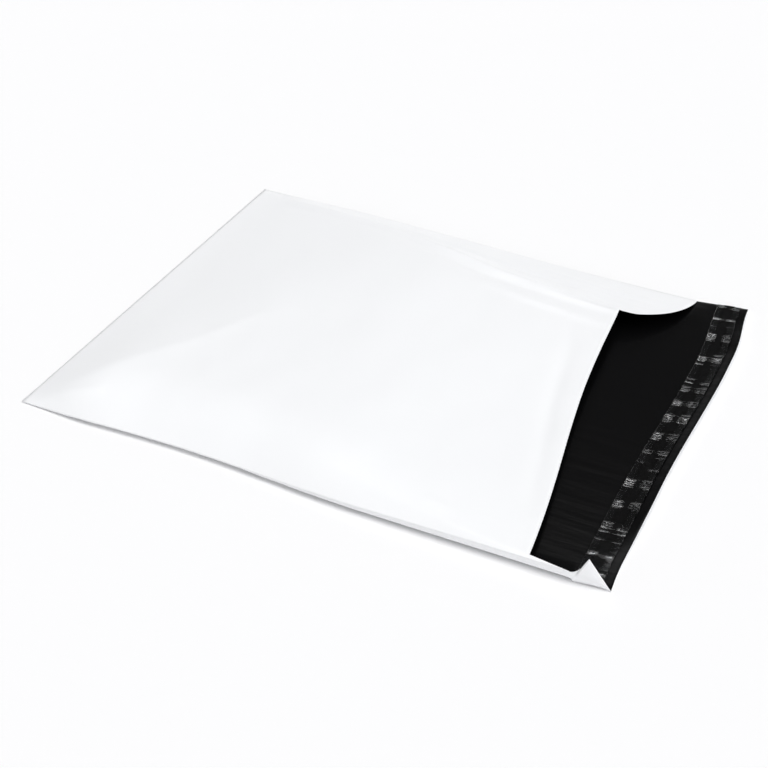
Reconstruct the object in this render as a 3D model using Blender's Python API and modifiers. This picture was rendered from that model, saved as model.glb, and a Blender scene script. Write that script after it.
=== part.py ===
"""An open poly mailer bag, empty and slightly puffed, lying on its back panel.

One web of film, white outside and black inside, is folded at the bottom of the
bag and welded along both long sides. The back panel runs on past the welds as
a closing flap. The flap carries a bead of adhesive under a clear release liner.

Metres, +Z up. +X runs from the bottom fold to the flap, +Y from the near weld
to the far one. The origin is under the middle of the bag, on the table.
"""

import math
from collections import namedtuple

import bmesh
import bpy
from mathutils import Matrix, Vector

# Size of the bag
BAG_WIDTH = 0.350
POUCH_LENGTH = 0.385
FLAP_LENGTH = 0.031
FLAP_BOW = 0.005
WELD_SKEW = 0.0065
FILM = 0.0003
WELD_SLIT = 0.0002

# Air between the panels
PILLOW_HEIGHT = 0.019
NEAR_SHOULDER = 0.065
FAR_SHOULDER = 0.055
BOTTOM_SHOULDER = 0.045
BOTTOM_SHOULDER_SPREAD = 0.100
SHOULDER_TILT = 0.35

# Mouth: the front panel's edge stands open, drawn back from the weld ends
MOUTH_NEAR_SPAN = 0.025
MOUTH_FAR_SPAN = 0.065
MOUTH_NEAR_DRAW = 0.026
MOUTH_FAR_DRAW = 0.045
MOUTH_NEAR_GAPE = 0.0010
MOUTH_FAR_GAPE = 0.0115
MOUTH_NEAR_SET_IN = 0.0030
MOUTH_FAR_SET_IN = 0.0610
MOUTH_WAVE = 0.0020

# How the two welds run: the near one stands up and out, the far one is drawn in
NEAR_WELD_LIFT = 0.0050
NEAR_WELD_WALL = 0.0090
NEAR_WELD_BULGE = 0.0023
NEAR_FOOT_BULGE = 0.0018
NEAR_BELLY = 0.0035
FAR_WELD_LIFT = 0.0022
FAR_DRAW = 0.0095
BOTTOM_LIFT = 0.0010
LIFT_REACH = 0.035

# Closing strip on the flap
LINER_WIDTH = 0.0170
LINER_MARGIN = 0.0055
LINER_THICKNESS = 0.0003
ADHESIVE_WIDTH = 0.0080
ADHESIVE_THICKNESS = 0.0003
GAP = 0.0003

# Curl of the flap's two ends
NEAR_CURL_HEIGHT = 0.0160
NEAR_CURL_WALL = 0.0180
NEAR_CURL_LEAN = 0.0070
NEAR_CURL_TUCK = 0.0020
NEAR_CURL_BELLY = 0.0030
NEAR_CURL_FOOT = 0.0030
NOTCH_DEPTH = 2
FAR_CURL_HEIGHT = 0.0042
FAR_CURL_REACH = 0.070
FAR_CORNER_DRAW = 0.0065
FAR_CORNER_CUT = 0.0040

# Fineness of the sheets
NEAR_COLUMNS = 8
MIDDLE_COLUMNS = 18
FAR_COLUMNS = 6
POUCH_ROWS = 22
FLAP_ROOT_ROWS = 3

SHARP_ANGLE = math.radians(40)

BEAD = 2 * FILM + WELD_SLIT
COLUMNS = NEAR_COLUMNS + MIDDLE_COLUMNS + FAR_COLUMNS
BAND_DEPTH = LINER_MARGIN + LINER_WIDTH
ADHESIVE_MARGIN = LINER_MARGIN + (LINER_WIDTH - ADHESIVE_WIDTH) / 2
LINER_LINES = (BAND_DEPTH, LINER_MARGIN)
ADHESIVE_LINES = (ADHESIVE_MARGIN + ADHESIVE_WIDTH, ADHESIVE_MARGIN)
STRIP_LINES = (LINER_LINES[0], *ADHESIVE_LINES, LINER_LINES[1], 0.0)
FLAP_ROWS = FLAP_ROOT_ROWS + len(STRIP_LINES) - 1
MOUTH_ROW = POUCH_ROWS
BAND_ROW = POUCH_ROWS + FLAP_ROOT_ROWS
NEAR_CORNER = MOUTH_NEAR_SPAN / BAG_WIDTH
FAR_CORNER = 1 - MOUTH_FAR_SPAN / BAG_WIDTH

# The film's near side: a wall of some length along the film, from the edge at
# its top, over a round belly, down to the foot where the film meets the table
NearSide = namedtuple("NearSide", "wall edge foot height belly")
SIDE_AT_WELD = NearSide(
    wall=NEAR_WELD_WALL,
    edge=-NEAR_WELD_BULGE,
    foot=-NEAR_FOOT_BULGE,
    height=NEAR_WELD_LIFT,
    belly=NEAR_BELLY,
)
SIDE_AT_LINER = NearSide(
    wall=NEAR_CURL_WALL,
    edge=NEAR_CURL_TUCK,
    foot=-NEAR_CURL_FOOT,
    height=NEAR_CURL_HEIGHT,
    belly=NEAR_CURL_BELLY,
)


def mix(first, second, share):
    """The value or point that lies at a share of the way between two."""
    return first + (second - first) * share


def ease(value, start, end):
    """A smooth step that leaves start level and arrives at end level."""
    share = min(max((value - start) / (end - start), 0.0), 1.0)
    return share * share * (3 - 2 * share)


def swell(distance, reach):
    """How full the film is at a distance from a weld: 0 at it, 1 past reach."""
    share = min(max(distance / reach, 0.0), 1.0)
    return 1 - (1 - share) ** 2


def fade(distance, reach):
    """The opposite of swell: 1 at the edge, 0 past reach."""
    return 1 - swell(distance, reach)


def weld_end(across):
    """How far from the bottom fold the welds end, at a share of the width."""
    return mix(POUCH_LENGTH + WELD_SKEW, POUCH_LENGTH - WELD_SKEW, across)


def column_place(column):
    """The share of the width at which a column of the sheets lies."""
    if column <= NEAR_COLUMNS:
        return NEAR_CORNER * column / NEAR_COLUMNS
    column -= NEAR_COLUMNS
    if column <= MIDDLE_COLUMNS:
        return mix(NEAR_CORNER, FAR_CORNER, column / MIDDLE_COLUMNS)
    return mix(FAR_CORNER, 1.0, (column - MIDDLE_COLUMNS) / FAR_COLUMNS)


def rise_of_near_weld(along):
    """How much of its full lift the near weld has: none at the bottom fold."""
    return ease(along, 0.0, 0.6)


def far_line(along):
    """Where the far weld runs: air draws it in towards the mouth."""
    return BAG_WIDTH - FAR_DRAW * ease(along, 0.0, 0.95)


def weld_lift(along, across):
    """The height of the line between the welds at a place along the bag."""
    near = NEAR_WELD_LIFT * rise_of_near_weld(along)
    far = FAR_WELD_LIFT * ease(along, 0.0, 0.3)
    return mix(near, far, across) + BOTTOM_LIFT * fade(along * POUCH_LENGTH, LIFT_REACH)


def near_place(across, side, amount):
    """Where the film's near margin lies, for a side that stands up by an amount."""
    wall, edge, foot, height, belly = (size * amount for size in side)
    distance = across * BAG_WIDTH
    if distance >= wall:
        return foot + distance - wall, 0.0
    share = distance / wall
    y = mix(edge, foot, share) - belly * math.sin(share * math.pi)
    return y, height * (1 + math.cos(share * math.pi)) / 2


def web_place(across, side, amount, far):
    """Where the back panel or flap lies across its width, up to its far edge."""
    if across <= NEAR_CORNER:
        return near_place(across, side, amount)
    start, _ = near_place(NEAR_CORNER, side, amount)
    return mix(start, far, (across - NEAR_CORNER) / (1 - NEAR_CORNER)), 0.0


def back_place(along, across):
    """A point of the back panel's outer face, between the fold and the weld ends."""
    y, z = web_place(across, SIDE_AT_WELD, rise_of_near_weld(along), far_line(along))
    z += BOTTOM_LIFT * fade(along * POUCH_LENGTH, LIFT_REACH)
    z += FAR_WELD_LIFT * ease(along, 0.0, 0.3) * fade((1 - across) * BAG_WIDTH, LIFT_REACH)
    return Vector((along * weld_end(across), y, z))


def mouth_place(across):
    """The front panel's free edge in plan, and its height over the welds."""
    near_weld = back_place(1, 0)
    far_weld = back_place(1, 1)
    near = Vector((near_weld.x - MOUTH_NEAR_DRAW, near_weld.y + MOUTH_NEAR_SET_IN, MOUTH_NEAR_GAPE))
    far = Vector((far_weld.x - MOUTH_FAR_DRAW, far_weld.y - MOUTH_FAR_SET_IN, MOUTH_FAR_GAPE))
    if across <= NEAR_CORNER:
        share = across / NEAR_CORNER
        return Vector((mix(near_weld.x, near.x, share), mix(near_weld.y, near.y, share), near.z * share))
    if across <= FAR_CORNER:
        share = (across - NEAR_CORNER) / (FAR_CORNER - NEAR_CORNER)
        wave = Vector((MOUTH_WAVE * math.sin(share * math.tau), 0, 0))
        return mix(near, far, share) + wave
    share = (across - FAR_CORNER) / (1 - FAR_CORNER)
    x = mix(far.x, far_weld.x, 1 - (1 - share) ** 1.6)
    return Vector((x, mix(far.y, far_weld.y, share ** 1.5), far.z * (1 - share)))


def front_place(along, across):
    """A point of the front panel's outer face."""
    mouth = mouth_place(across)
    to_mouth = ease(along, 0.5, 1.0)
    near = back_place(along, 0).y
    far = back_place(along, 1).y
    x = along * mouth.x
    y = mix(mix(near, far, across), mouth.y, to_mouth)
    reach = mix(BOTTOM_SHOULDER, BOTTOM_SHOULDER + BOTTOM_SHOULDER_SPREAD, across)
    body = PILLOW_HEIGHT * swell(x, reach) * (1 - SHOULDER_TILT * (1 - across))
    body *= swell(across * BAG_WIDTH, NEAR_SHOULDER) * swell((1 - across) * BAG_WIDTH, FAR_SHOULDER)
    height = mix(body, mouth.z, to_mouth)
    return Vector((x, y, weld_lift(along, across) + BEAD + height))


def free_edge(across):
    """How far from the bottom fold the flap's free edge lies."""
    bow = FLAP_BOW * ease(across, 0.3, 0.75) - FAR_CORNER_CUT * ease(across, 0.8, 1.0)
    return POUCH_LENGTH + FLAP_LENGTH + bow


def band_place(depth, across):
    """A point of the flap's outer face, at a depth in from its free edge."""
    share = depth / BAND_DEPTH
    far = mix(BAG_WIDTH - FAR_CORNER_DRAW, far_line(1), share)
    y, z = web_place(across, SIDE_AT_LINER, share, far)
    z += mix(FAR_CURL_HEIGHT, FAR_WELD_LIFT, share) * fade((1 - across) * BAG_WIDTH, FAR_CURL_REACH)
    lean = NEAR_CURL_LEAN * share * fade(across, NEAR_CORNER)
    return Vector((free_edge(across) - depth + lean, y, z))


def root_place(share, across):
    """A point of the flap's outer face, between the weld ends and the liner."""
    start = back_place(1, across)
    end = band_place(BAND_DEPTH, across)
    point = mix(start, end, share)
    if across <= NEAR_CORNER:
        sizes = [mix(first, second, share) for first, second in zip(SIDE_AT_WELD, SIDE_AT_LINER)]
        height = mix(SIDE_AT_WELD.height, SIDE_AT_LINER.height, share ** NOTCH_DEPTH)
        side = NearSide(*sizes)._replace(height=height)
        point.y, point.z = near_place(across, side, 1)
    return point


def flap_place(row, across):
    """A point of the flap's outer face, in rows from the weld ends to the free edge."""
    if row < FLAP_ROOT_ROWS:
        return root_place(row / FLAP_ROOT_ROWS, across)
    return band_place(STRIP_LINES[row - FLAP_ROOT_ROWS], across)


def add_grid(sheet, rows, start, level):
    """Adds a flat grid of one unit squares, which is bent to its place afterwards."""
    place = Matrix.Translation((start + rows / 2, COLUMNS / 2, level))
    place = place @ Matrix.Diagonal((rows, COLUMNS, 1, 1))
    made = bmesh.ops.create_grid(sheet, x_segments=rows, y_segments=COLUMNS, size=0.5, matrix=place)
    return made["verts"]


def film_sheet():
    """The outer face of the film web, and the row of each of its points.

    The front panel is joined to the back panel by a narrow face along the
    bottom fold and both welds. Its fourth side, the mouth, stays open.
    """
    sheet = bmesh.new()
    add_grid(sheet, POUCH_ROWS, 0, 0)
    add_grid(sheet, FLAP_ROWS, POUCH_ROWS, 0)
    bmesh.ops.reverse_faces(sheet, faces=sheet.faces[:])
    front = set(add_grid(sheet, POUCH_ROWS, 0, 1))
    closed_edges = []
    for edge in sheet.edges:
        in_front = edge.verts[0] in front and edge.is_boundary
        at_mouth = all(round(vert.co.x) == MOUTH_ROW for vert in edge.verts)
        if in_front and not at_mouth:
            closed_edges.append(edge)
    joint = bmesh.ops.extrude_edge_only(sheet, edges=closed_edges)
    for element in joint["geom"]:
        if isinstance(element, bmesh.types.BMVert):
            element.co.z = 0
    bmesh.ops.remove_doubles(sheet, verts=sheet.verts[:], dist=FILM)

    row_of = {}
    for vert in sheet.verts:
        row, column, level = (round(value) for value in vert.co)
        across = column_place(column)
        row_of[vert] = row
        if level == 1:
            vert.co = front_place(row / POUCH_ROWS, across)
        elif row <= MOUTH_ROW:
            vert.co = back_place(row / POUCH_ROWS, across)
        else:
            vert.co = flap_place(row - POUCH_ROWS, across)
    bmesh.ops.triangulate(sheet, faces=sheet.faces[:], quad_method="SHORT_EDGE")
    sheet.normal_update()
    return sheet, row_of


def middle_of_underside():
    """The point on the table under the middle of the film."""
    sheet, _ = film_sheet()
    places = [vert.co for vert in sheet.verts]
    lowest = Vector(min(place[axis] for place in places) for axis in range(3))
    highest = Vector(max(place[axis] for place in places) for axis in range(3))
    sheet.free()
    return Vector(((lowest.x + highest.x) / 2, (lowest.y + highest.y) / 2, lowest.z))


def finish_piece(name, sheet, thickness, materials):
    """Makes an object of a sheet, with its wall on the inner side of its faces."""
    mesh = bpy.data.meshes.new(name)
    sheet.to_mesh(mesh)
    sheet.free()
    for material in materials:
        mesh.materials.append(material)
    mesh.shade_smooth()
    mesh.set_sharp_from_angle(angle=SHARP_ANGLE)
    piece = bpy.data.objects.new(name, mesh)
    wall = piece.modifiers.new("wall", "SOLIDIFY")
    wall.thickness = thickness
    wall.offset = -1
    wall.material_offset = len(materials) - 1
    return piece


def make_film(materials):
    """The film web: front panel, welds, bottom fold, back panel and flap."""
    sheet, _ = film_sheet()
    return finish_piece("mailer_film", sheet, FILM, materials)


def make_strip(name, first_row, last_row, height, thickness, material):
    """A strip on the flap's inner face, parallel to it, between two of its rows."""
    sheet, row_of = film_sheet()
    raised = {}
    outside = []
    for vert, row in row_of.items():
        raised[vert] = vert.co - vert.normal * height
        if not first_row <= row <= last_row:
            outside.append(vert)
    for vert, place in raised.items():
        vert.co = place
    bmesh.ops.delete(sheet, geom=outside, context="VERTS")
    return finish_piece(name, sheet, thickness, [material])


def make_material(name, colour, roughness):
    """A plain plastic finish."""
    material = bpy.data.materials.new(name)
    material.use_nodes = True
    shader = material.node_tree.nodes["Principled BSDF"]
    shader.inputs["Base Color"].default_value = (*colour, 1)
    shader.inputs["Roughness"].default_value = roughness
    shader.inputs["Metallic"].default_value = 0
    return material


def main():
    for item in list(bpy.data.objects):
        bpy.data.objects.remove(item, do_unlink=True)
    bag = bpy.data.collections.new("poly_mailer_bag")
    bpy.context.scene.collection.children.link(bag)

    white = make_material("white_film", (0.86, 0.87, 0.89), 0.25)
    black = make_material("black_lining", (0.006, 0.006, 0.007), 0.35)
    glue = make_material("hot_melt_adhesive", (0.03, 0.03, 0.03), 0.3)
    clear = make_material("clear_liner", (0.35, 0.35, 0.36), 0.1)

    on_film = FILM + GAP
    on_adhesive = on_film + ADHESIVE_THICKNESS + GAP
    pieces = (
        make_film([white, black]),
        make_strip("adhesive_strip", BAND_ROW + 1, BAND_ROW + 2, on_film, ADHESIVE_THICKNESS, glue),
        make_strip("release_liner", BAND_ROW, BAND_ROW + 3, on_adhesive, LINER_THICKNESS, clear),
    )
    origin = middle_of_underside()
    for piece in pieces:
        piece.location = -origin
        bag.objects.link(piece)


main()
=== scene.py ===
"""The looks of an open poly mailer bag: white film with a black lining, and a clear liner.

The bag lies slightly puffed with air on a pale table, seen from its open end.
Lengths are metres. The film is laid out in its own frame, with +X from the
bottom fold to the flap, +Y from the near weld to the far one and +Z up, and is
then moved into the model's frame.
"""

import math
from collections import namedtuple

import bmesh
import bpy
from mathutils import Matrix, Vector, noise


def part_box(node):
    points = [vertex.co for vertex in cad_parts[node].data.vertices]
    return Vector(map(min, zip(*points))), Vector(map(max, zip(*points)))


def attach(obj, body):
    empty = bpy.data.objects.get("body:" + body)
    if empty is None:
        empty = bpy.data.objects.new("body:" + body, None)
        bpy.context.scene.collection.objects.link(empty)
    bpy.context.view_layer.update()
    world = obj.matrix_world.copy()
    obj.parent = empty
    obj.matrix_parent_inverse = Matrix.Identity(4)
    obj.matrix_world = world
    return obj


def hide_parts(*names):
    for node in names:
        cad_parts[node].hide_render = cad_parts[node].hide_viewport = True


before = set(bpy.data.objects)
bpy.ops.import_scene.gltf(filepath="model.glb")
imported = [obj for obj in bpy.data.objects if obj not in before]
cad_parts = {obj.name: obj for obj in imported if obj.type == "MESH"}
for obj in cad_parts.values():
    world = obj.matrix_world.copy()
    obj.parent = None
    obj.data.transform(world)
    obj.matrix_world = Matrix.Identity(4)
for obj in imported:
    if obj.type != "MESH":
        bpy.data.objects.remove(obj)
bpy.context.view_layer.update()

# Size of the bag
BAG_WIDTH = 0.350
POUCH_LENGTH = 0.385
FLAP_LENGTH = 0.031
FLAP_BOW = 0.005
WELD_SKEW = 0.0065
FILM = 0.00015
WELD_SLIT = 0.0001

# Air between the panels: the film rises from each edge and turns flat at a crease
PILLOW_HEIGHT = 0.019
NEAR_SHOULDER = 0.060
FAR_SHOULDER = 0.060
FAR_SHOULDER_START = 0.010
FAR_SHOULDER_GROWS = 0.230
BOTTOM_SHOULDER = 0.010
BOTTOM_SHOULDER_SPREAD = 0.165
BOTTOM_SHOULDER_POWER = 0.9
SHOULDER_TILT = 0.35
CREASE_ROUNDING = 0.16

# Mouth: the front panel's edge stands open, drawn back from the weld ends. The
# start is a share of the bag's length, and the powers shape the edge's curves.
MOUTH_START = 0.5
MOUTH_NEAR_SPAN = 0.025
MOUTH_FAR_SPAN = 0.065
MOUTH_NEAR_DRAW = 0.026
MOUTH_FAR_DRAW = 0.045
MOUTH_NEAR_GAPE = 0.0010
MOUTH_FAR_GAPE = 0.0115
MOUTH_NEAR_SET_IN = 0.0030
MOUTH_FAR_SET_IN = 0.0610
MOUTH_WAVE = 0.0020
MOUTH_SAG = 0.0036
MOUTH_SAG_POWER = 0.85
MOUTH_FAR_X_POWER = 1.6
MOUTH_FAR_Y_POWER = 1.5

# How the two welds run: the near one stands up and out, the far one is drawn in.
# A start or an end is a share of the bag's length.
NEAR_WELD_LIFT = 0.0050
NEAR_WELD_WALL = 0.0090
NEAR_WELD_BULGE = 0.0023
NEAR_FOOT_BULGE = 0.0018
NEAR_FOOT_END = 0.6
NEAR_DRAW = 0.0050
NEAR_DRAW_END = 0.66
NEAR_BELLY = 0.0018
NEAR_RISE_START = 0.30
NEAR_EDGE_CURL = 0.0025
NEAR_EDGE_CURL_END = 0.15
NEAR_CURL_OUT = 1.25
NEAR_CURL_REACH = 0.024
FAR_WELD_LIFT = 0.0022
FAR_LIFT_END = 0.3
FAR_DRAW = 0.0095
FAR_DRAW_END = 0.95
BOTTOM_LIFT = 0.0004
LIFT_REACH = 0.035

# Closing strip on the flap. A crinkle rises over a share of its pitch and falls
# over the rest. A patch of crinkles is full out to the first share of its half
# length, and gone at the second.
LINER_WIDTH = 0.0170
LINER_MARGIN = 0.0055
LINER_THICKNESS = 0.00012
LINER_HEIGHT = 0.00045
CRINKLE_PITCH = 0.0024
CRINKLE_SHARE = 0.80
CRINKLE_HEIGHT = 0.00054
CRINKLE_EVENNESS = 0.85
PATCH_FULL = 0.75
PATCH_END = 1.3
ADHESIVE_WIDTH = 0.0080
ADHESIVE_THICKNESS = 0.00025
ADHESIVE_HEIGHT = 0.00030

# Across the liner, as a share of its width: where crinkles stop and start again
# beside the adhesive, and how much of them is left over it
OUTER_SIDE_FULL = 0.30
OUTER_SIDE_END = 0.46
INNER_SIDE_START = 0.54
INNER_SIDE_FULL = 0.70
HELD_STRENGTH = 0.25

# The flap's free edge and the curl of its two ends. A start or an end is a share
# of the bag's width.
BOW_START = 0.30
BOW_END = 0.75
FAR_CORNER_START = 0.80
EDGE_LIFT_NEAR = 0.25
EDGE_LIFT_FAR = 0.15
NEAR_CURL_HEIGHT = 0.0153
NEAR_CURL_WALL = 0.0180
NEAR_CURL_LEAN = 0.0080
NEAR_CURL_TUCK = 0.0020
NEAR_CURL_BELLY = 0.0030
NEAR_CURL_FOOT = 0.0045
NEAR_TIP_OUT = 0.0028
NEAR_TIP_ALONG = 0.0015
NOTCH_DEPTH = 2.8
FAR_CURL_HEIGHT = 0.0042
FAR_CURL_REACH = 0.070
FAR_CORNER_DRAW = 0.0065
FAR_CORNER_CUT = 0.0040
FLAP_EDGE_LIFT = 0.0040
FLAP_EDGE_OUT = 0.40

# Fineness of the film's mesh
NEAR_COLUMNS = 24
MIDDLE_COLUMNS = 90
FAR_COLUMNS = 34
POUCH_ROWS = 130
ROOT_ROWS = 14
BAND_ROWS = 16

# Fineness of the liner's and the adhesive's meshes
LINER_ROWS = 26
LINER_COLUMNS = 1100
ADHESIVE_ROWS = 8
ADHESIVE_COLUMNS = 240

# How far apart the places are that tell which way the film faces, as a share
PROBE_STEP = 0.002

# Faces that meet at more than this angle keep a sharp edge
SHARP_ANGLE = math.radians(120)

# Where the photograph was taken from, in the film's own frame
CAMERA_PLACE = Vector((0.5555, -0.6847, 0.6119))
CAMERA_AZIMUTH = math.radians(22.95)
CAMERA_ELEVATION = math.radians(34.60)
CAMERA_ROLL = math.radians(2.44)
CAMERA_SENSOR = 36.0
CAMERA_LENS = 72.3
CAMERA_NEAREST = 0.05
CAMERA_FARTHEST = 50

# The table reaches this far from the bag, and lies just under its lowest point
TABLE_REACH = 12
TABLE_DROP = 0.0003

# Large softboxes far from the bag: the way to each one, how wide it looks in
# degrees, and its strength
Softbox = namedtuple("Softbox", "name towards spread strength")
SOFTBOXES = (
    Softbox("overhead", (-0.08, 0.30, 0.95), 60, 0.66),
    Softbox("highlight", (-0.22, 0.40, 0.89), 16, 0.21),
    Softbox("right_side", (0.72, 0.05, 0.69), 40, 1.15),
    Softbox("front", (0.10, -0.85, 0.45), 60, 0.46),
)
SOFTBOX_DISTANCE = 3

# The studio round the bag, by height: 0 at the horizon and 1 overhead. A low wall
# fades into a dim gap, and the gap into a white ceiling.
WALL_TOP = 0.34
GAP_START = 0.42
GAP_END = 0.70
CEILING_START = 0.95
WALL_LEVEL = 0.55
GAP_LEVEL = 0.05
CEILING_LEVEL = 1.00

# Sizes that follow from those above
BEAD = 2 * FILM + WELD_SLIT
COLUMNS = NEAR_COLUMNS + MIDDLE_COLUMNS + FAR_COLUMNS
BAND_DEPTH = LINER_MARGIN + LINER_WIDTH
ADHESIVE_MARGIN = LINER_MARGIN + (LINER_WIDTH - ADHESIVE_WIDTH) / 2
FLAP_ROWS = ROOT_ROWS + BAND_ROWS
NEAR_CORNER = MOUTH_NEAR_SPAN / BAG_WIDTH
FAR_CORNER = 1 - MOUTH_FAR_SPAN / BAG_WIDTH

film_low, film_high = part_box("mailer_film")
ORIGIN = Vector((-film_low.x, BAG_WIDTH - film_high.y, 0.0))

# The film's near side: a wall of some length along the film, from the edge at
# its top, over a round belly, down to the foot where the film meets the table
NearSide = namedtuple("NearSide", "wall edge foot height belly")
SIDE_AT_LINER = NearSide(
    wall=NEAR_CURL_WALL,
    edge=NEAR_CURL_TUCK,
    foot=-NEAR_CURL_FOOT,
    height=NEAR_CURL_HEIGHT,
    belly=NEAR_CURL_BELLY,
)

# A crease in the front panel, drawn through places in the film's own frame: a soft
# ridge, or a groove if its height is negative
Crease = namedtuple("Crease", "points width height")
CREASES = (
    Crease(
        points=(
            (0.030, 0.334), (0.073, 0.327), (0.112, 0.320),
            (0.181, 0.302), (0.236, 0.288), (0.345, 0.280),
        ),
        width=0.0060,
        height=0.0030,
    ),
    Crease(
        points=((0.104, 0.328), (0.180, 0.318), (0.243, 0.306), (0.340, 0.300)),
        width=0.0035,
        height=-0.0010,
    ),
    Crease(
        points=((0.170, 0.292), (0.225, 0.277), (0.330, 0.270)),
        width=0.0038,
        height=-0.0012,
    ),
    Crease(
        points=((0.225, 0.266), (0.270, 0.260), (0.335, 0.257)),
        width=0.0040,
        height=0.0012,
    ),
    Crease(
        points=((0.250, 0.325), (0.320, 0.316), (0.365, 0.318)),
        width=0.0030,
        height=0.0009,
    ),
    Crease(points=((0.290, 0.302), (0.350, 0.296)), width=0.0028, height=0.0008),
    Crease(
        points=((0.305, 0.250), (0.316, 0.217), (0.326, 0.150), (0.343, 0.073), (0.352, 0.030)),
        width=0.0055,
        height=-0.0012,
    ),
    Crease(
        points=((0.015, 0.010), (0.042, 0.050), (0.075, 0.097), (0.110, 0.165)),
        width=0.0070,
        height=0.0007,
    ),
    Crease(points=((0.020, 0.012), (0.050, 0.024)), width=0.0060, height=0.0010),
    Crease(
        points=((0.290, 0.019), (0.302, 0.014), (0.312, 0.010)),
        width=0.0030,
        height=0.0008,
    ),
    Crease(points=((0.098, 0.085), (0.112, 0.060)), width=0.0080, height=0.0005),
)
CREASE_REACH = 3
CREASE_END_POWER = 0.6

# The soft unevenness of the front panel: a broad one and a narrow one. It fades
# out towards the welds and the bottom fold.
Unevenness = namedtuple("Unevenness", "length width seed height")
SLACK = (
    Unevenness(length=0.060, width=0.090, seed=0.0, height=0.0009),
    Unevenness(length=0.022, width=0.035, seed=4.0, height=0.00028),
)
SLACK_SIDE_FADE = 0.015
SLACK_BOTTOM_FADE = 0.020

# A ripple of the liner: its height, its length along the liner, how often it turns
# across it, and a seed that keeps it apart from the others. One bends the
# crinkles, one breaks their tops, and one is the bed under them.
Ripple = namedtuple("Ripple", "height length turns seed")
CRINKLE_WANDER = Ripple(height=0.6, length=0.005, turns=1.6, seed=1.0)
CRINKLE_BREAKS = Ripple(height=0.7, length=0.0018, turns=9.0, seed=5.0)
LINER_BED = Ripple(height=0.00004, length=0.009, turns=2.0, seed=9.0)

# A patch of crinkles across the liner: where it lies from the near weld to the far
# one, its length along the liner, and how strong it is beside the adhesive, on the
# flap's inner side and on its outer one
Patch = namedtuple("Patch", "place length inner outer")
PATCHES = (
    Patch(0.009, 0.0030, 0.2, 0.7),
    Patch(0.0255, 0.0036, 1.0, 1.0),
    Patch(0.040, 0.0016, 0.3, 0.2),
    Patch(0.0485, 0.0018, 0.8, 0.9),
    Patch(0.0530, 0.0038, 0.9, 1.0),
    Patch(0.0575, 0.0016, 0.7, 0.3),
    Patch(0.0775, 0.0068, 1.0, 1.0),
    Patch(0.1020, 0.0090, 1.1, 1.0),
    Patch(0.1193, 0.0016, 0.0, 0.6),
    Patch(0.1262, 0.0016, 0.4, 0.0),
    Patch(0.1327, 0.0016, 0.0, 0.3),
    Patch(0.1396, 0.0044, 0.5, 1.1),
    Patch(0.1592, 0.0084, 1.0, 0.6),
    Patch(0.1834, 0.0096, 0.8, 1.0),
    Patch(0.2036, 0.0066, 0.9, 1.0),
    Patch(0.2229, 0.0070, 0.8, 0.6),
    Patch(0.2326, 0.0018, 0.6, 0.7),
    Patch(0.2371, 0.0016, 0.4, 0.1),
    Patch(0.2588, 0.0018, 0.5, 0.1),
    Patch(0.2660, 0.0060, 1.0, 1.2),
    Patch(0.2722, 0.0020, 0.0, 0.8),
    Patch(0.2970, 0.0096, 0.8, 0.5),
    Patch(0.3125, 0.0018, 0.2, 0.2),
    Patch(0.3230, 0.0026, 0.7, 0.7),
    Patch(0.3397, 0.0030, 0.35, 0.25),
)


def mix(first, second, share):
    """The value or point that lies at a share of the way between two."""
    return first + (second - first) * share


def ease(value, start, end):
    """A smooth step that leaves start level and arrives at end level."""
    share = min(max((value - start) / (end - start), 0.0), 1.0)
    return share * share * (3 - 2 * share)


def swell(distance, reach):
    """How full the film is at a distance from a weld: 0 at it, 1 past reach."""
    share = min(max(distance / reach, 0.0), 1.0)
    return 1 - (1 - share) ** 2


def fade(distance, reach):
    """The opposite of swell: 1 at the edge, 0 past reach."""
    return 1 - swell(distance, reach)


def weld_end(across):
    """How far from the bottom fold the welds end, at a share of the width."""
    return mix(POUCH_LENGTH + WELD_SKEW, POUCH_LENGTH - WELD_SKEW, across)


def column_place(column):
    """The share of the width at which a column of the film's mesh lies."""
    if column <= NEAR_COLUMNS:
        return NEAR_CORNER * column / NEAR_COLUMNS
    column -= NEAR_COLUMNS
    if column <= MIDDLE_COLUMNS:
        return mix(NEAR_CORNER, FAR_CORNER, column / MIDDLE_COLUMNS)
    return mix(FAR_CORNER, 1.0, (column - MIDDLE_COLUMNS) / FAR_COLUMNS)


def near_rise(along):
    """How much of its full lift the near weld has: none on the bottom half of the bag."""
    return ease(along, NEAR_RISE_START, 1.0)


def side_at_weld(along):
    """The near side at a place along the weld, which stands up towards the mouth."""
    rise = near_rise(along)
    draw = NEAR_DRAW * math.sin(min(along / NEAR_DRAW_END, 1.0) * math.pi) ** 2
    foot = draw - NEAR_FOOT_BULGE * ease(along, 0.0, NEAR_FOOT_END)
    return NearSide(
        wall=NEAR_WELD_WALL * rise,
        edge=foot - (NEAR_WELD_BULGE - NEAR_FOOT_BULGE) * rise,
        foot=foot,
        height=NEAR_WELD_LIFT * rise,
        belly=NEAR_BELLY * rise,
    )


def far_line(along):
    """Where the far weld runs: air draws it in towards the mouth."""
    return BAG_WIDTH - FAR_DRAW * ease(along, 0.0, FAR_DRAW_END)


def near_curl(along):
    """How far the near edge curls up off the table."""
    return NEAR_EDGE_CURL * ease(along, 0.0, NEAR_EDGE_CURL_END)


def far_lift(along):
    """How far the far weld lies off the table."""
    return FAR_WELD_LIFT * ease(along, 0.0, FAR_LIFT_END)


def weld_lift(along, across):
    """The height of the line between the welds at a place along the bag."""
    near = NEAR_WELD_LIFT * near_rise(along) + near_curl(along)
    bottom = BOTTOM_LIFT * fade(along * POUCH_LENGTH, LIFT_REACH)
    return mix(near, far_lift(along), across) + bottom


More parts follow.
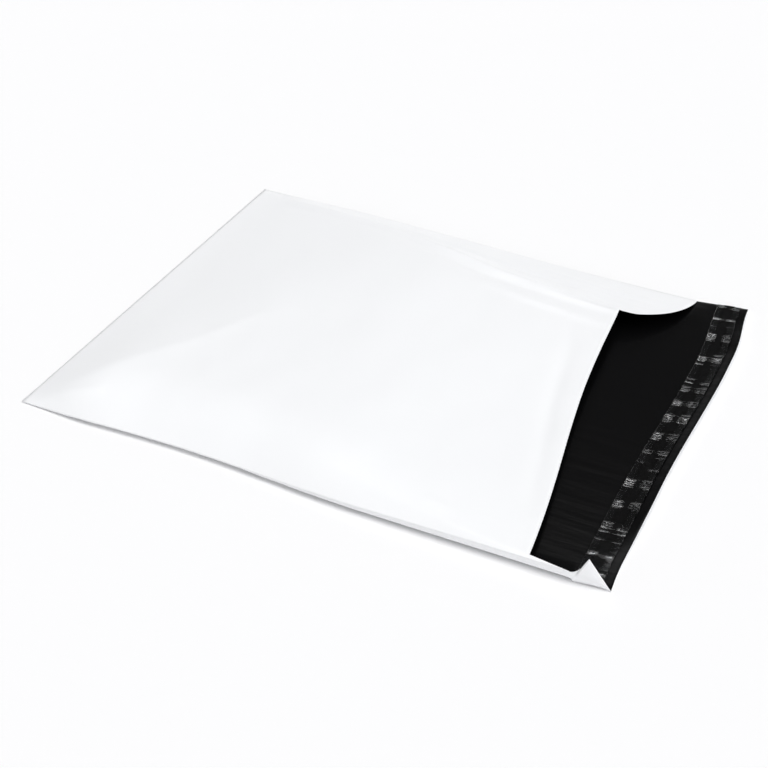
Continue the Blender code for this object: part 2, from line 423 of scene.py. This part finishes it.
def near_place(across, side):
    """Where the film's near margin lies, at a share of the width."""
    distance = across * BAG_WIDTH
    if distance >= side.wall:
        return side.foot + distance - side.wall, 0.0
    share = distance / side.wall
    y = mix(side.edge, side.foot, share) - side.belly * math.sin(share * math.pi)
    return y, side.height * (1 - share)


def web_place(across, side, far):
    """Where the back panel or flap lies across its width, up to its far edge."""
    if across <= NEAR_CORNER:
        return near_place(across, side)
    start, _ = near_place(NEAR_CORNER, side)
    return mix(start, far, (across - NEAR_CORNER) / (1 - NEAR_CORNER)), 0.0


def back_place(along, across):
    """A point of the back panel's outer face, between the fold and the weld ends."""
    y, z = web_place(across, side_at_weld(along), far_line(along))
    curl = near_curl(along) * fade(across * BAG_WIDTH, NEAR_CURL_REACH)
    y -= NEAR_CURL_OUT * curl
    z += curl
    z += BOTTOM_LIFT * fade(along * POUCH_LENGTH, LIFT_REACH)
    z += far_lift(along) * fade((1 - across) * BAG_WIDTH, LIFT_REACH)
    return Vector((along * weld_end(across), y, z))


def mouth_place(across):
    """The front panel's free edge in plan, and its height over the welds."""
    near_weld = back_place(1, 0)
    far_weld = back_place(1, 1)
    near_x = near_weld.x - MOUTH_NEAR_DRAW
    near = Vector((near_x, near_weld.y + MOUTH_NEAR_SET_IN, MOUTH_NEAR_GAPE))
    far_x = far_weld.x - MOUTH_FAR_DRAW
    far = Vector((far_x, far_weld.y - MOUTH_FAR_SET_IN, MOUTH_FAR_GAPE))
    if across <= NEAR_CORNER:
        share = across / NEAR_CORNER
        x = mix(near_weld.x, near.x, share)
        return Vector((x, mix(near_weld.y, near.y, share), near.z * share))
    if across <= FAR_CORNER:
        share = (across - NEAR_CORNER) / (FAR_CORNER - NEAR_CORNER)
        wave = MOUTH_WAVE * math.sin(share * math.tau)
        sag = MOUTH_SAG * math.sin(share ** MOUTH_SAG_POWER * math.pi) ** 2
        return mix(near, far, share) + Vector((wave - sag, 0, 0))
    share = (across - FAR_CORNER) / (1 - FAR_CORNER)
    x = mix(far.x, far_weld.x, 1 - (1 - share) ** MOUTH_FAR_X_POWER)
    y = mix(far.y, far_weld.y, share ** MOUTH_FAR_Y_POWER)
    return Vector((x, y, far.z * (1 - share)))


def crease_height(crease, x, y):
    """How far a crease lifts or sinks the film at a place, fading out at its ends."""
    place = Vector((x, y))
    ends = zip(crease.points, crease.points[1:])
    pieces = [(Vector(start), Vector(end)) for start, end in ends]
    whole = sum((end - start).length for start, end in pieces)
    nearest = math.inf
    passed = 0.0
    before = 0.0
    for start, end in pieces:
        run = end - start
        share = min(max((place - start).dot(run) / run.length_squared, 0.0), 1.0)
        aside = (place - start - run * share).length
        if aside < nearest:
            nearest = aside
            passed = before + run.length * share
        before += run.length
    if nearest > CREASE_REACH * crease.width:
        return 0.0
    strength = math.sin(min(max(passed / whole, 0.0), 1.0) * math.pi) ** CREASE_END_POWER
    return crease.height * strength * math.exp(-(nearest / crease.width) ** 2)


def shoulder(distance, reach):
    """How full the film is at a distance from an edge: it rises evenly, then turns flat."""
    share = distance / reach
    whole = CREASE_ROUNDING * math.log(1 + math.exp(1 / CREASE_ROUNDING))
    left = CREASE_ROUNDING * math.log(1 + math.exp((1 - share) / CREASE_ROUNDING))
    return 1 - left / whole


def slack(x, y):
    """The soft unevenness of film that is filled by little air."""
    height = 0.0
    for part in SLACK:
        place = Vector((x / part.length, y / part.width, part.seed))
        height += part.height * noise.noise(place)
    return height


def front_place(along, across):
    """A point of the front panel's outer face."""
    mouth = mouth_place(across)
    to_mouth = ease(along, MOUTH_START, 1.0)
    near = back_place(along, 0).y
    far = back_place(along, 1).y
    x = along * mouth.x
    y = mix(mix(near, far, across), mouth.y, to_mouth)
    near_distance = across * BAG_WIDTH
    far_distance = (1 - across) * BAG_WIDTH
    widest = BOTTOM_SHOULDER + BOTTOM_SHOULDER_SPREAD
    bottom_reach = mix(BOTTOM_SHOULDER, widest, across ** BOTTOM_SHOULDER_POWER)
    far_reach = mix(FAR_SHOULDER_START, FAR_SHOULDER, ease(x, 0.0, FAR_SHOULDER_GROWS))
    fullness = shoulder(x, bottom_reach) * swell(near_distance, NEAR_SHOULDER)
    fullness *= shoulder(far_distance, far_reach)
    body = PILLOW_HEIGHT * (1 - SHOULDER_TILT * (1 - across)) * fullness
    height = mix(body, mouth.z, to_mouth)
    inside = swell(near_distance, SLACK_SIDE_FADE) * swell(far_distance, SLACK_SIDE_FADE)
    inside *= swell(x, SLACK_BOTTOM_FADE)
    creases = sum(crease_height(crease, x, y) for crease in CREASES)
    height += inside * (slack(x, y) + creases)
    return Vector((x, y, weld_lift(along, across) + BEAD + height))


def free_edge(across):
    """How far from the bottom fold the flap's free edge lies."""
    bow = FLAP_BOW * ease(across, BOW_START, BOW_END)
    bow -= FAR_CORNER_CUT * ease(across, FAR_CORNER_START, 1.0)
    return POUCH_LENGTH + FLAP_LENGTH + bow


def band_place(depth, across):
    """A point of the flap's outer face, at a depth in from its free edge."""
    share = depth / BAND_DEPTH
    back = depth / (free_edge(1) - weld_end(1))
    far = mix(BAG_WIDTH - FAR_CORNER_DRAW, far_line(1), back)
    side = NearSide(*(size * share for size in SIDE_AT_LINER))
    y, z = web_place(across, side, far)
    curl = near_curl(1) * share * fade(across * BAG_WIDTH, NEAR_CURL_REACH)
    tip = (1 - share) * fade(across, NEAR_CORNER)
    y -= NEAR_CURL_OUT * curl + NEAR_TIP_OUT * tip
    z += curl
    far_height = mix(FAR_CURL_HEIGHT, FAR_WELD_LIFT, back)
    z += far_height * fade((1 - across) * BAG_WIDTH, FAR_CURL_REACH)
    lift = FLAP_EDGE_LIFT * (1 - share) ** 2
    lift *= ease(across, 0.0, EDGE_LIFT_NEAR) * ease(1 - across, 0.0, EDGE_LIFT_FAR)
    lean = NEAR_CURL_LEAN * share * fade(across, NEAR_CORNER)
    x = free_edge(across) - depth + lean + FLAP_EDGE_OUT * lift + NEAR_TIP_ALONG * tip
    return Vector((x, y, z + lift))


def root_place(share, across):
    """A point of the flap's outer face, between the weld ends and the liner."""
    start = back_place(1, across)
    end = band_place(BAND_DEPTH, across)
    point = mix(start, end, share)
    if across <= NEAR_CORNER:
        weld = side_at_weld(1)
        blend = ease(share, 0.0, 1.0)
        sizes = zip(weld, SIDE_AT_LINER)
        side = NearSide(*(mix(first, second, blend) for first, second in sizes))
        height = mix(weld.height, SIDE_AT_LINER.height, share ** NOTCH_DEPTH)
        point.y, point.z = near_place(across, side._replace(height=height))
        curl = near_curl(1) * fade(across * BAG_WIDTH, NEAR_CURL_REACH)
        point.y -= NEAR_CURL_OUT * curl
        point.z += curl
    return point


def flap_place(row, across):
    """A point of the flap's outer face, in rows from the weld ends to the free edge."""
    if row < ROOT_ROWS:
        return root_place(row / ROOT_ROWS, across)
    return band_place(BAND_DEPTH * (1 - (row - ROOT_ROWS) / BAND_ROWS), across)


def add_grid(sheet, rows, columns, start, level):
    """Adds a flat grid of one unit squares, which is bent to its place afterwards."""
    place = Matrix.Translation((start + rows / 2, columns / 2, level))
    place = place @ Matrix.Diagonal((rows, columns, 1, 1))
    made = bmesh.ops.create_grid(sheet, x_segments=rows, y_segments=columns, size=0.5, matrix=place)
    return made["verts"]


def make_piece(name, sheet, thickness, materials):
    """Makes a piece of a sheet, with its wall on the inner side of its faces."""
    bmesh.ops.translate(sheet, verts=sheet.verts[:], vec=-ORIGIN)
    mesh = bpy.data.meshes.new(name)
    sheet.to_mesh(mesh)
    sheet.free()
    for material in materials:
        mesh.materials.append(material)
    mesh.shade_smooth()
    mesh.set_sharp_from_angle(angle=SHARP_ANGLE)
    piece = bpy.data.objects.new(name, mesh)
    bpy.context.scene.collection.objects.link(piece)
    wall = piece.modifiers.new("wall", "SOLIDIFY")
    wall.thickness = thickness
    wall.offset = -1
    wall.material_offset = len(materials) - 1
    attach(piece, "root")
    return piece


def make_film(materials):
    """The film web: front panel, welds, bottom fold, back panel and flap."""
    sheet = bmesh.new()
    add_grid(sheet, POUCH_ROWS, COLUMNS, 0, 0)
    add_grid(sheet, FLAP_ROWS, COLUMNS, POUCH_ROWS, 0)
    bmesh.ops.reverse_faces(sheet, faces=sheet.faces[:])
    front = set(add_grid(sheet, POUCH_ROWS, COLUMNS, 0, 1))
    closed_edges = []
    for edge in sheet.edges:
        in_front = edge.verts[0] in front and edge.is_boundary
        at_mouth = all(round(vert.co.x) == POUCH_ROWS for vert in edge.verts)
        if in_front and not at_mouth:
            closed_edges.append(edge)
    joint = bmesh.ops.extrude_edge_only(sheet, edges=closed_edges)
    for element in joint["geom"]:
        if isinstance(element, bmesh.types.BMVert):
            element.co.z = 0
    bmesh.ops.remove_doubles(sheet, verts=sheet.verts[:], dist=FILM)
    for vert in sheet.verts:
        row, column, level = (round(value) for value in vert.co)
        across = column_place(column)
        if level == 1:
            vert.co = front_place(row / POUCH_ROWS, across)
        elif row <= POUCH_ROWS:
            vert.co = back_place(row / POUCH_ROWS, across)
        else:
            vert.co = flap_place(row - POUCH_ROWS, across)
    return make_piece("poly_film", sheet, FILM, materials)


def beside_adhesive(share, patch):
    """How strong a patch is across the liner: weak where the adhesive holds it flat."""
    outer = patch.outer * (1 - ease(share, OUTER_SIDE_FULL, OUTER_SIDE_END))
    inner = patch.inner * ease(share, INNER_SIDE_START, INNER_SIDE_FULL)
    return max(outer, inner, HELD_STRENGTH * min(patch.outer, patch.inner))


def ripple_height(ripple, place, share):
    """The height of a ripple at a place along the liner and a share across it."""
    spot = Vector((place / ripple.length, share * ripple.turns, ripple.seed))
    return ripple.height * noise.noise(spot)


def crinkle_height(place, share):
    """How far the liner stands off its bed at a place along it and a share across it."""
    tooth = (place / CRINKLE_PITCH + ripple_height(CRINKLE_WANDER, place, share)) % 1.0
    if tooth < CRINKLE_SHARE:
        tooth = tooth / CRINKLE_SHARE
    else:
        tooth = (1 - tooth) / (1 - CRINKLE_SHARE)
    uneven = CRINKLE_EVENNESS + ripple_height(CRINKLE_BREAKS, place, share)
    strength = 0.0
    for patch in PATCHES:
        aside = abs(place - patch.place) / (patch.length / 2)
        if aside < PATCH_END:
            strength += beside_adhesive(share, patch) * (1 - ease(aside, PATCH_FULL, PATCH_END))
    bed = ripple_height(LINER_BED, place, share)
    return CRINKLE_HEIGHT * strength * tooth * uneven + bed


def flap_inner(depth, across, height):
    """A point over the flap's inner face, square to it at a height."""
    here = band_place(depth, across)
    deeper = band_place(depth + PROBE_STEP * BAND_DEPTH, across) - here
    beyond = min(across + PROBE_STEP, 1.0)
    aside = band_place(depth, beyond) - band_place(depth, beyond - PROBE_STEP)
    up = aside.cross(deeper).normalized()
    return here + up * (FILM + height)


def make_strip(name, rows, columns, margin, width, height_at, thickness, material):
    """A strip along the flap's inner face, between the flap's two ends."""
    sheet = bmesh.new()
    add_grid(sheet, rows, columns, 0, 0)
    bmesh.ops.reverse_faces(sheet, faces=sheet.faces[:])
    for vert in sheet.verts:
        share = 1 - vert.co.x / rows
        across = vert.co.y / columns
        depth = margin + width * share
        height = height_at(band_place(depth, across).y, share)
        vert.co = flap_inner(depth, across, height)
    return make_piece(name, sheet, thickness, [material])


def linear(hex_colour):
    """A colour written as sRGB hex, as the linear values that a shader takes."""
    values = [int(hex_colour[start:start + 2], 16) / 255 for start in (1, 3, 5)]
    curved = []
    for value in values:
        if value <= 0.04045:
            curved.append(value / 12.92)
        else:
            curved.append(((value + 0.055) / 1.055) ** 2.4)
    return (*curved, 1.0)


def add_node(material, kind, settings, links):
    """Adds a node with its settings, and links its sockets to what feeds them."""
    node = material.node_tree.nodes.new(kind)
    for name, value in settings.items():
        if isinstance(name, int) or name in node.inputs:
            node.inputs[name].default_value = value
        else:
            setattr(node, name, value)
    for name, source in links.items():
        material.node_tree.links.new(source, node.inputs[name])
    return node


def new_material(name, settings):
    """A material with its Principled shader set, and that shader."""
    material = bpy.data.materials.new(name)
    material.use_nodes = True
    shader = material.node_tree.nodes["Principled BSDF"]
    for socket, value in settings.items():
        shader.inputs[socket].default_value = value
    return material, shader


def polyethylene_white():
    """Blown LDPE film filled with white pigment: bright, with a soft wax-like gloss."""
    settings = {
        "Base Color": linear("#FAFBFD"),
        "Roughness": 0.33,
        "IOR": 1.51,
        "Specular IOR Level": 0.3,
    }
    material, shader = new_material("white_polyethylene", settings)
    place = add_node(material, "ShaderNodeTexCoord", {}, {})
    # blown film keeps faint lines from the die, about 3 mm apart, along the web
    stretch = add_node(
        material,
        "ShaderNodeMapping",
        {"Scale": (0.06, 1.0, 1.0)},
        {"Vector": place.outputs["Object"]},
    )
    die_lines = add_node(
        material,
        "ShaderNodeTexNoise",
        {"Scale": 1 / 0.003, "Detail": 3.0},
        {"Vector": stretch.outputs["Vector"]},
    )
    # handling leaves shallow dimples about 9 mm wide
    dimples = add_node(
        material,
        "ShaderNodeTexNoise",
        {"Scale": 1 / 0.009, "Detail": 2.0},
        {"Vector": place.outputs["Object"]},
    )
    lines = add_node(
        material,
        "ShaderNodeBump",
        {"Strength": 0.25, "Distance": 0.00006},
        {"Height": die_lines.outputs["Fac"]},
    )
    relief = add_node(
        material,
        "ShaderNodeBump",
        {"Strength": 0.5, "Distance": 0.00025},
        {"Height": dimples.outputs["Fac"], "Normal": lines.outputs["Normal"]},
    )
    # the dimples are also a little duller than the film round them
    haze = add_node(
        material,
        "ShaderNodeMapRange",
        {"To Min": 0.285, "To Max": 0.38},
        {"Value": dimples.outputs["Fac"]},
    )
    material.node_tree.links.new(relief.outputs["Normal"], shader.inputs["Normal"])
    material.node_tree.links.new(haze.outputs["Result"], shader.inputs["Roughness"])
    return material


def polyethylene_black():
    """The carbon-black inner layer of the same film: near black, with a faint satin sheen."""
    settings = {
        "Base Color": linear("#080809"),
        "Roughness": 0.18,
        "IOR": 1.51,
        "Specular IOR Level": 0.2,
    }
    material, shader = new_material("black_polyethylene", settings)
    place = add_node(material, "ShaderNodeTexCoord", {}, {})
    stretch = add_node(
        material,
        "ShaderNodeMapping",
        {"Scale": (0.12, 1.0, 1.0)},
        {"Vector": place.outputs["Object"]},
    )
    # shallow cross wrinkles about 8 mm apart, running from the liner to the mouth
    wrinkles = add_node(
        material,
        "ShaderNodeTexNoise",
        {"Scale": 1 / 0.008, "Detail": 3.0},
        {"Vector": stretch.outputs["Vector"]},
    )
    relief = add_node(
        material,
        "ShaderNodeBump",
        {"Strength": 0.3, "Distance": 0.0006},
        {"Height": wrinkles.outputs["Fac"]},
    )
    material.node_tree.links.new(relief.outputs["Normal"], shader.inputs["Normal"])
    return material


def polypropylene_clear():
    """Cast BOPP release liner: clear, thin and glossy, crinkled by the winding."""
    settings = {
        "Base Color": linear("#F4F6F8"),
        "Roughness": 0.04,
        "IOR": 1.49,
        "Specular IOR Level": 0.9,
        "Transmission Weight": 1.0,
    }
    material, shader = new_material("clear_polypropylene", settings)
    place = add_node(material, "ShaderNodeTexCoord", {}, {})
    stretch = add_node(
        material,
        "ShaderNodeMapping",
        {"Scale": (0.25, 1.0, 1.0)},
        {"Vector": place.outputs["Object"]},
    )
    # fine creases about 1.2 mm apart, across the strip
    creases = add_node(
        material,
        "ShaderNodeTexNoise",
        {"Scale": 1 / 0.0012, "Detail": 3.0},
        {"Vector": stretch.outputs["Vector"]},
    )
    relief = add_node(
        material,
        "ShaderNodeBump",
        {"Strength": 0.08, "Distance": 0.00012},
        {"Height": creases.outputs["Fac"]},
    )
    material.node_tree.links.new(relief.outputs["Normal"], shader.inputs["Normal"])
    return material


def hot_melt():
    """Pressure-sensitive hot melt: a clear rubbery bead, dark over the black film."""
    settings = {
        "Base Color": linear("#0A0A0A"),
        "Roughness": 0.18,
        "IOR": 1.50,
        "Specular IOR Level": 0.2,
    }
    material, shader = new_material("hot_melt_adhesive", settings)
    place = add_node(material, "ShaderNodeTexCoord", {}, {})
    # slot-coated beads have small waves about 5 mm apart
    waves = add_node(
        material,
        "ShaderNodeTexNoise",
        {"Scale": 1 / 0.005, "Detail": 2.0},
        {"Vector": place.outputs["Object"]},
    )
    relief = add_node(
        material,
        "ShaderNodeBump",
        {"Strength": 0.5, "Distance": 0.0003},
        {"Height": waves.outputs["Fac"]},
    )
    material.node_tree.links.new(relief.outputs["Normal"], shader.inputs["Normal"])
    return material


def make_camera():
    """The camera at the photograph's viewing angle."""
    data = bpy.data.cameras.new("camera")
    data.sensor_width = CAMERA_SENSOR
    data.lens = CAMERA_LENS
    data.clip_start = CAMERA_NEAREST
    data.clip_end = CAMERA_FARTHEST
    camera = bpy.data.objects.new("camera", data)
    bpy.context.scene.collection.objects.link(camera)
    turn = Matrix.Rotation(CAMERA_AZIMUTH, 4, "Z")
    tilt = Matrix.Rotation(math.pi / 2 - CAMERA_ELEVATION, 4, "X")
    roll = Matrix.Rotation(CAMERA_ROLL, 4, "Z")
    place = Matrix.Translation(CAMERA_PLACE - ORIGIN)
    camera.matrix_world = place @ turn @ tilt @ roll
    bpy.context.scene.camera = camera


def make_floor():
    """A pale matt table that is nearly white in this light and keeps the bag's shadow."""
    sheet = bmesh.new()
    bmesh.ops.create_grid(sheet, x_segments=1, y_segments=1, size=TABLE_REACH)
    mesh = bpy.data.meshes.new("table")
    sheet.to_mesh(mesh)
    sheet.free()
    settings = {"Base Color": linear("#FDFDFE"), "Roughness": 0.9, "Specular IOR Level": 0.0}
    material, _ = new_material("white_table", settings)
    mesh.materials.append(material)
    table = bpy.data.objects.new("table", mesh)
    table.location.z = -TABLE_DROP
    bpy.context.scene.collection.objects.link(table)


def add_softbox(name, towards, spread, strength):
    """A far softbox in a direction from the bag, as wide as an angle in degrees."""
    data = bpy.data.lights.new(name, "SUN")
    data.angle = math.radians(spread)
    data.energy = strength
    lamp = bpy.data.objects.new(name, data)
    lamp.location = Vector(towards).normalized() * SOFTBOX_DISTANCE
    lamp.rotation_mode = "QUATERNION"
    lamp.rotation_quaternion = (-Vector(towards)).to_track_quat("-Z", "Y")
    bpy.context.scene.collection.objects.link(lamp)


def light_the_scene():
    """Soft light: large softboxes overhead, at the right and in front, and a small one."""
    for softbox in SOFTBOXES:
        add_softbox(*softbox)
    world = bpy.data.worlds.new("studio")
    world.use_nodes = True
    bpy.context.scene.world = world
    place = add_node(world, "ShaderNodeTexCoord", {}, {})
    height = add_node(
        world,
        "ShaderNodeSeparateXYZ",
        {},
        {"Vector": place.outputs["Generated"]},
    )
    wall = add_node(
        world,
        "ShaderNodeMapRange",
        {"From Min": WALL_TOP, "From Max": GAP_START, "To Min": WALL_LEVEL, "To Max": GAP_LEVEL},
        {"Value": height.outputs["Z"]},
    )
    ceiling = add_node(
        world,
        "ShaderNodeMapRange",
        {
            "From Min": GAP_END,
            "From Max": CEILING_START,
            "To Min": GAP_LEVEL,
            "To Max": CEILING_LEVEL,
        },
        {"Value": height.outputs["Z"]},
    )
    level = add_node(
        world,
        "ShaderNodeMath",
        {"operation": "MAXIMUM"},
        {0: wall.outputs["Result"], 1: ceiling.outputs["Result"]},
    )
    # past the table's edge the background is plain white
    ray = add_node(world, "ShaderNodeLightPath", {}, {})
    seen = add_node(
        world,
        "ShaderNodeMath",
        {"operation": "MAXIMUM"},
        {0: level.outputs["Value"], 1: ray.outputs["Is Camera Ray"]},
    )
    sky = world.node_tree.nodes["Background"]
    world.node_tree.links.new(seen.outputs["Value"], sky.inputs["Strength"])
    sky.inputs["Color"].default_value = linear("#FFFFFF")


def main():
    """Makes the bag, its table, its light and its camera."""
    make_camera()
    white = polyethylene_white()
    black = polyethylene_black()
    film = make_film([white, black])
    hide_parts("mailer_film")

    adhesive = make_strip(
        "adhesive_bead", ADHESIVE_ROWS, ADHESIVE_COLUMNS, ADHESIVE_MARGIN, ADHESIVE_WIDTH,
        lambda place, share: ADHESIVE_HEIGHT, ADHESIVE_THICKNESS, hot_melt(),
    )
    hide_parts("adhesive_strip")
    liner = make_strip(
        "crinkled_liner", LINER_ROWS, LINER_COLUMNS, LINER_MARGIN, LINER_WIDTH,
        lambda place, share: LINER_HEIGHT + crinkle_height(place, share),
        LINER_THICKNESS, polypropylene_clear(),
    )
    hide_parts("release_liner")

    make_floor()
    light_the_scene()
    bpy.context.scene.view_settings.view_transform = "Standard"


main()
